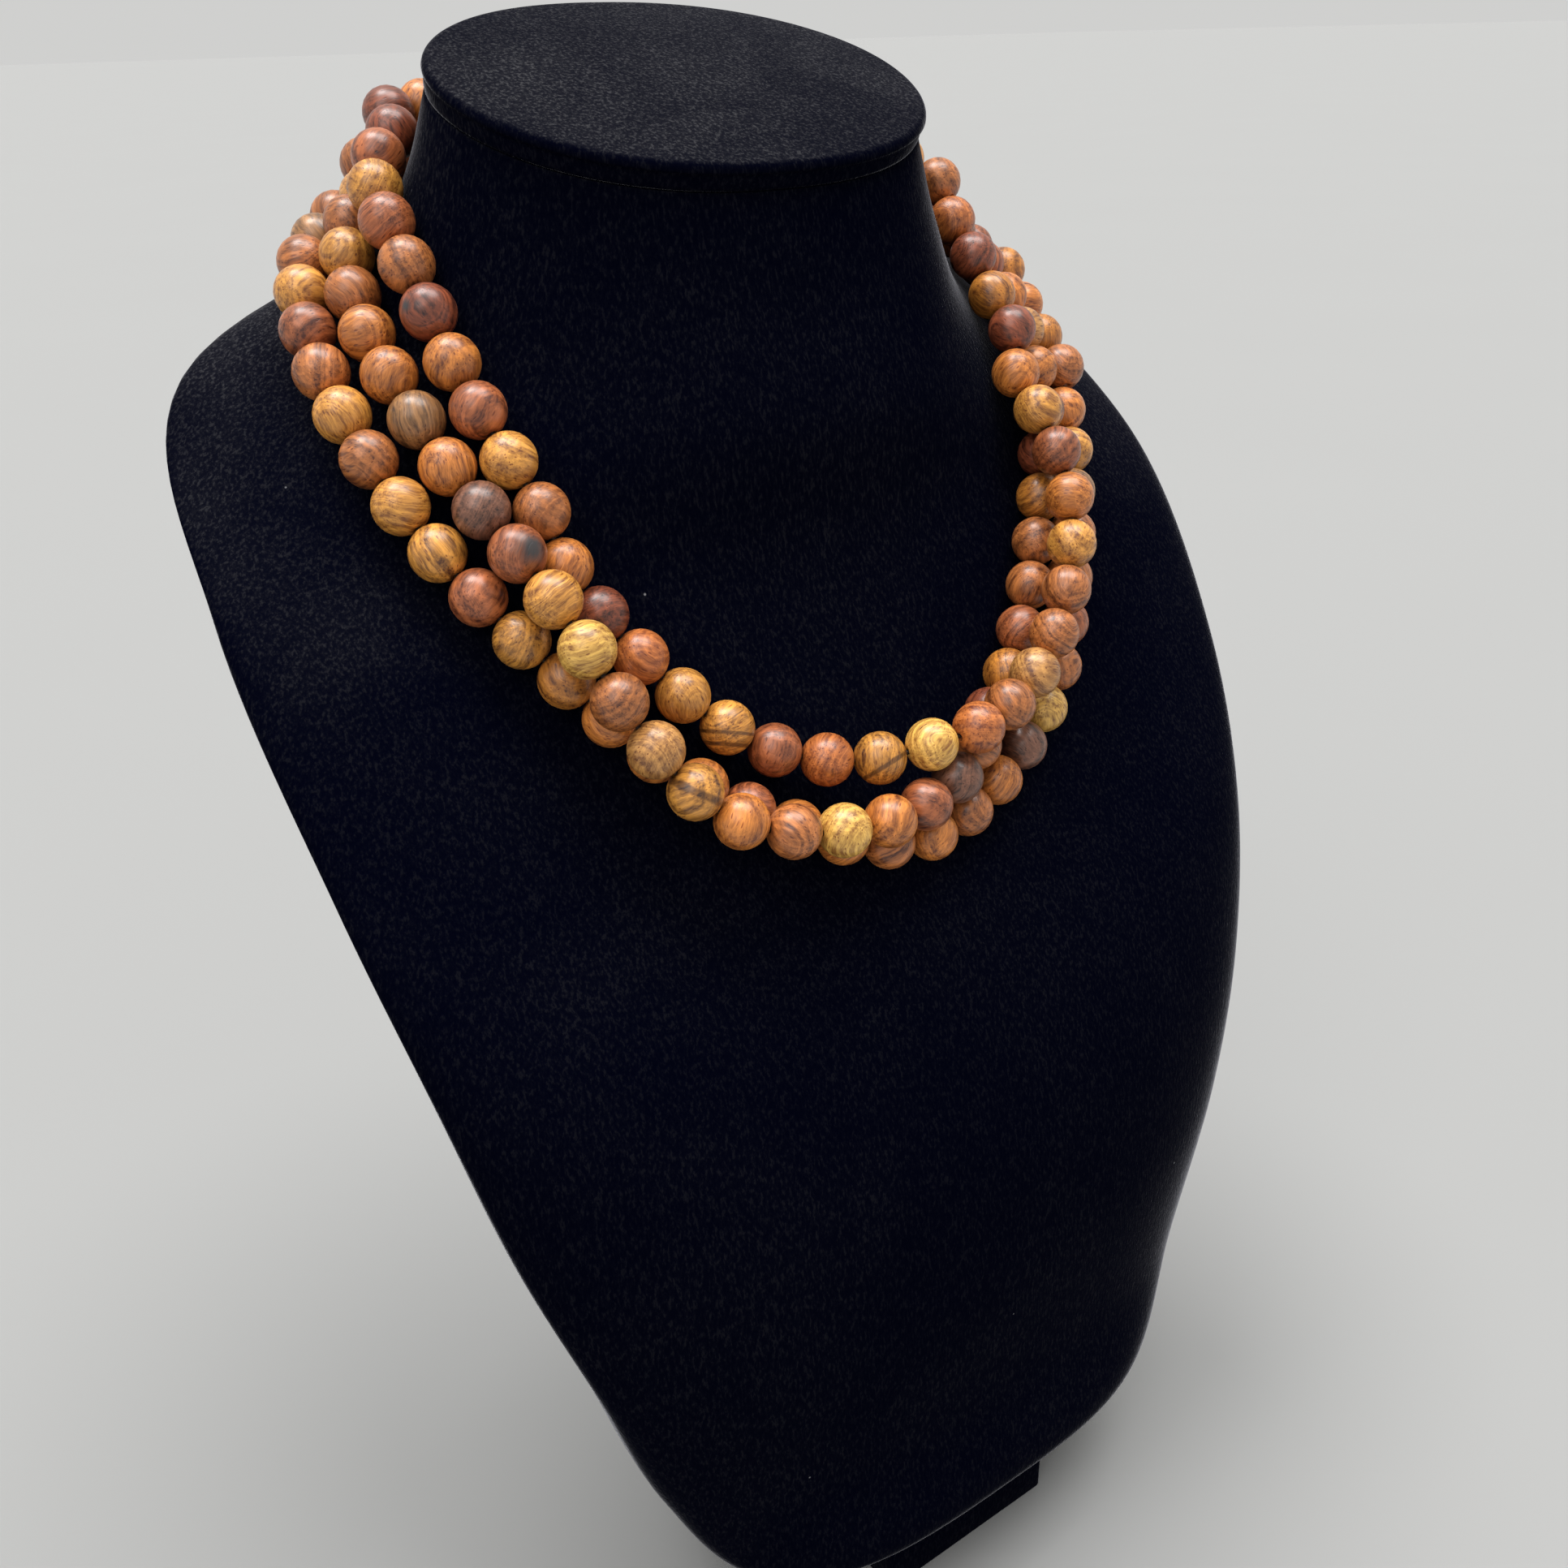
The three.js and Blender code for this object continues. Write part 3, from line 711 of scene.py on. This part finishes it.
def add_beads(name, node, centres, radius, hole, seed, sides=24):
    """All beads of a strand as one mesh of separate closed balls: the profile turned
    about each bead's thread, as one array of bead, ring and side."""
    ways = np.gradient(centres, axis=0)
    ways /= np.linalg.norm(ways, axis=1, keepdims=True)
    u, v = turned_frames(ways, seed)
    profile = bead_profile(radius, hole)
    angle = np.linspace(0, 2 * np.pi, sides, endpoint=False)
    across = np.cos(angle)[:, None] * u[:, None, :] + np.sin(angle)[:, None] * v[:, None, :]
    local = profile[None, :, 0, None, None] * across[:, None]
    local = local + profile[None, :, 1, None, None] * ways[:, None, None, :]
    count, rings = local.shape[:2]
    poles = profile[[0, -1], 1][None, :, None] * ways[:, None, :]
    local = np.concatenate([local.reshape(count, -1, 3), poles], 1)
    size = local.shape[1]
    skins = [ring_faces(rings, sides), fan_faces(0, sides, size - 2, False)]
    skins.append(fan_faces((rings - 1) * sides, sides, size - 1, True))
    faces = []
    for skin in skins:
        block = np.arange(count)[:, None, None] * size + np.array(skin)[None]
        faces += block.reshape(-1, block.shape[-1]).tolist()
    obj = add_mesh(name, local + centres[:, None], faces)
    turns, offset = random_boards(count, seed + BOARD_SEED)
    board = np.einsum("bij,bpj->bpi", turns, local / MM) + offset[:, None]
    point_attribute(obj.data, "board", "FLOAT_VECTOR", board)
    # Beads past the end of the list would be mid brown
    tones = [WOOD_TONES[letter] for letter in TONES[node][:count].ljust(count, "m")]
    rng = np.random.default_rng(seed + SHADE_SEED)
    shade = rng.uniform(0.88, 1.1, (count, 1))
    for column, layer in enumerate(("light_wood", "dark_wood")):
        colour = np.array([linear(pair[column]) for pair in tones]) * shade
        colour = np.concatenate([colour, np.ones((count, 1))], 1)
        point_attribute(obj.data, layer, "FLOAT_COLOR", np.repeat(colour, size, axis=0))
    knot = np.full((count, size, 3), FAR)
    for strand, bead, reach, way in KNOTS:
        if strand == node:
            towards = np.array(way) / np.linalg.norm(way) * radius
            knot[bead] = (local[bead] - towards) / (reach * MM)
    point_attribute(obj.data, "knot", "FLOAT_VECTOR", knot)
    stripe = np.full((count, size, 3), FAR)
    for strand, bead, way, lines in STRIPES:
        if strand == node:
            along = local[bead] @ (np.array(way) / np.linalg.norm(way)) / MM
            for column, (place, half_width) in enumerate(lines):
                stripe[bead, :, column] = (along - place) / half_width
    point_attribute(obj.data, "stripe", "FLOAT_VECTOR", stripe)
    return obj


def add_tube(name, path, radius, sides=8):
    """A closed round tube: a circle carried along a path, each ring square to the
    path and kept from twisting by a fixed helper direction."""
    ways = np.gradient(path, axis=0)
    ways /= np.linalg.norm(ways, axis=1, keepdims=True)
    u = np.cross(ways, [0.0, 0.3, 1.0])
    u /= np.linalg.norm(u, axis=1, keepdims=True)
    v = np.cross(ways, u)
    angle = np.linspace(0, 2 * np.pi, sides, endpoint=False)[None, :, None]
    rings = path[:, None] + radius * (np.cos(angle) * u[:, None] + np.sin(angle) * v[:, None])
    return closed_skin(name, rings, path[0], path[-1])


class NECKLACE_OT_bust(bpy.types.Operator):
    """Make the velvet-covered body, the neck cap and the foot block"""

    bl_idname = "necklace.bust"
    bl_label = "Velvet bust"

    def execute(self, context):
        look = context.scene.bust_look
        shift = np.array([0.0, bust_shift(), 0.0])
        velvet = velvet_material(look)
        rings = bust_rings(look.sides) + shift
        body = closed_skin("velvet_body", rings, rings[0].mean(0), rings[-1].mean(0))
        finish_piece(body, velvet, "bust_velvet", "bust_body")
        self.add_cap(look.sides, shift, velvet)
        self.add_foot(shift, velvet)
        return {"FINISHED"}

    def add_cap(self, sides, shift, material):
        """The cap's skin: a band in line with the neck, a lip that stands out over it
        with a small rounded edge, then shrinking rings over a low dome."""
        top = section_rows()[-1]
        edge_radius = 1.6
        # How far each ring stands out from the neck and up from its top, in mm
        levels = [(-0.6, -0.25), (0.1, 0.1), (0.3, 0.7), (0.25, 2.4), (0.35, 3.2)]
        for turn in np.radians(np.linspace(0, 90, 7)):
            out = CAP_OVERHANG - edge_radius * (1 - math.cos(turn))
            up = CAP_THICKNESS - edge_radius * (1 - math.sin(turn))
            levels.append((out, up))
        rings = [outline(top, sides, out * MM, (GAP + up) * MM) for out, up in levels]
        normal = np.array([0.0, -math.sin(top["lean"]), math.cos(top["lean"])])
        rim = rings[-1]
        middle = rim.mean(0)
        for share in np.linspace(0.94, 0.06, 16):
            dome = CAP_DOME * MM * (1 - share**2)
            rings.append(middle + (rim - middle) * share + normal * dome)
        crown = middle + normal * CAP_DOME * MM + shift
        rings = np.array(rings) + shift
        cap = closed_skin("velvet_neck_cap", rings, rings[0].mean(0), crown)
        finish_piece(cap, material, "cap_velvet", "neck_cap")

    def add_foot(self, shift, material):
        """The foot block: a rounded oblong whose outline is swept up a wall with
        softened edges. Along each side of the oblong the corner's quarter circle is
        carried to the next corner."""
        corner, edge = 1.5, 0.8
        quarter = np.linspace(0, 90, 7)
        angle = np.radians(np.concatenate([quarter + turn for turn in (0, 90, 180, 270)]))
        right = np.repeat([1, -1, -1, 1], len(quarter))
        behind = np.repeat([1, 1, -1, -1], len(quarter))
        x = right * (FOOT_HALF_WIDTH - corner)
        y = np.where(behind > 0, FOOT_BACK - corner, corner - FOOT_FRONT)
        turn = np.radians(np.linspace(0, 90, 5))
        levels = [(edge * (math.sin(t) - 1), edge * (1 - math.cos(t))) for t in turn]
        levels += [(inset, FOOT_HEIGHT - up) for inset, up in levels[::-1]]
        rings = [np.stack([
            x + (corner + inset) * np.cos(angle),
            y + (corner + inset) * np.sin(angle),
            np.full(len(angle), up)], -1) for inset, up in levels]
        rings = np.array(rings) * MM + shift
        foot = closed_skin("velvet_foot_block", rings, rings[0].mean(0), rings[-1].mean(0))
        finish_piece(foot, material, "foot_velvet", "foot_block")


class NECKLACE_OT_strands(bpy.types.Operator):
    """Make the three strands: their wooden beads, and the thread through them"""

    bl_idname = "necklace.strands"
    bl_label = "Strands of beads"

    def execute(self, context):
        look = context.scene.bead_look
        wood = wood_material(look.grain)
        thread = thread_material()
        for seed, place in enumerate(("inner", "middle", "outer"), 1):
            node = f"strand_{place}"
            centres, start, end = strand_shape(node)
            beads = add_beads(
                f"beads_{place}", node, centres, look.diameter / 2, look.hole / 2, seed)
            finish_piece(beads, wood, f"{place}_beads", node)
            path = smooth_rails(np.concatenate([[start], centres, [end]])[:, None], 4)[:, 0]
            line = add_tube(f"thread_{place}", path, look.thread / 2)
            finish_piece(line, thread, f"{place}_beads")
        return {"FINISHED"}


class NECKLACE_OT_clasp(bpy.types.Operator):
    """Give the plain bar that the strands end in behind the neck its brass"""

    bl_idname = "necklace.clasp"
    bl_label = "Clasp"

    def execute(self, context):
        brass = brass_material(context.scene.bead_look.brass)
        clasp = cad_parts["clasp"]
        clasp.data.materials.clear()
        clasp.data.materials.append(brass)
        return {"FINISHED"}


class NECKLACE_OT_stage(bpy.types.Operator):
    """Make the plain floor, the soft light and the camera"""

    bl_idname = "necklace.stage"
    bl_label = "Floor, light and camera"

    def execute(self, context):
        look = context.scene.stage_look
        ends = np.array([[-1, -1, 0], [1, -1, 0], [1, 1, 0], [-1, 1, 0]])
        floor = add_mesh("floor", FLOOR_HALF_SIDE * ends, [(0, 1, 2, 3)], smooth=False)
        floor.data.materials.append(floor_material(look.floor))
        self.add_room(context.scene)
        for light in SKYLIGHTS:
            self.add_skylight(*light)
        self.add_camera(look)
        # Surfaces keep their own colours in the picture, with no film curve over them
        context.scene.view_settings.view_transform = "Standard"
        return {"FINISHED"}

    def add_room(self, scene):
        """A pale room, equally bright all round."""
        world = bpy.data.worlds.new("pale_room")
        world.use_nodes = True
        background = world.node_tree.nodes["Background"]
        background.inputs["Color"].default_value = ROOM_COLOUR
        background.inputs["Strength"].default_value = ROOM_STRENGTH
        scene.world = world

    def add_skylight(self, name, way, strength, spread):
        """A soft light from far off that comes from the given way, spread over an
        angle in degrees."""
        light = bpy.data.lights.new(name, "SUN")
        light.energy = strength
        light.angle = math.radians(spread)
        lamp = bpy.data.objects.new(name, light)
        lamp.rotation_euler = Vector(way).to_track_quat("Z", "Y").to_euler()
        bpy.context.scene.collection.objects.link(lamp)

    def add_camera(self, look):
        """The camera stands at the photograph's place before the bust."""
        camera = bpy.data.cameras.new("camera")
        camera.sensor_width = SENSOR_WIDTH
        camera.lens = SENSOR_WIDTH * FOCAL_PIXELS / PICTURE_PIXELS
        camera.clip_start = 0.01
        sine, cosine = math.sin(look.elevation), math.cos(look.elevation)
        back = Vector((math.sin(look.azimuth) * cosine, -math.cos(look.azimuth) * cosine, sine))
        right = Vector((math.cos(look.azimuth), math.sin(look.azimuth), 0))
        up = back.cross(right)
        turn = Matrix((right, up, back)).transposed() @ Matrix.Rotation(look.roll, 3, "Z")
        holder = bpy.data.objects.new("camera", camera)
        place = Vector(CAMERA_PLACE) * MM + Vector((0, bust_shift(), 0))
        holder.matrix_world = Matrix.Translation(place) @ turn.to_4x4()
        bpy.context.scene.collection.objects.link(holder)
        bpy.context.scene.camera = holder


class NECKLACE_PT_panel(bpy.types.Panel):
    """Lists the pieces and their settings in the sidebar"""

    bl_idname = "NECKLACE_PT_panel"
    bl_label = "Necklace"
    bl_space_type = "VIEW_3D"
    bl_region_type = "UI"
    bl_category = "Necklace"

    def draw(self, context):
        for settings in ("bust_look", "bead_look", "stage_look"):
            group = getattr(context.scene, settings)
            box = self.layout.box()
            for name in group.__annotations__:
                box.prop(group, name)
        for operator in OPERATORS:
            self.layout.operator(operator.bl_idname)


OPERATORS = (NECKLACE_OT_bust, NECKLACE_OT_strands, NECKLACE_OT_clasp, NECKLACE_OT_stage)
CLASSES = (BustLook, BeadLook, StageLook, *OPERATORS, NECKLACE_PT_panel)


def register():
    """Registers the classes and hangs the settings on the scene."""
    for cls in CLASSES:
        bpy.utils.register_class(cls)
    bpy.types.Scene.bust_look = PointerProperty(type=BustLook)
    bpy.types.Scene.bead_look = PointerProperty(type=BeadLook)
    bpy.types.Scene.stage_look = PointerProperty(type=StageLook)


def unregister():
    """Takes the settings and the classes away again."""
    del bpy.types.Scene.stage_look
    del bpy.types.Scene.bead_look
    del bpy.types.Scene.bust_look
    for cls in reversed(CLASSES):
        bpy.utils.unregister_class(cls)


def main():
    """Makes every piece in order."""
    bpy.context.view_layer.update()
    register()
    bpy.ops.necklace.bust()
    bpy.ops.necklace.strands()
    bpy.ops.necklace.clasp()
    bpy.ops.necklace.stage()
    bpy.context.view_layer.update()


if __name__ == "__main__":
    main()
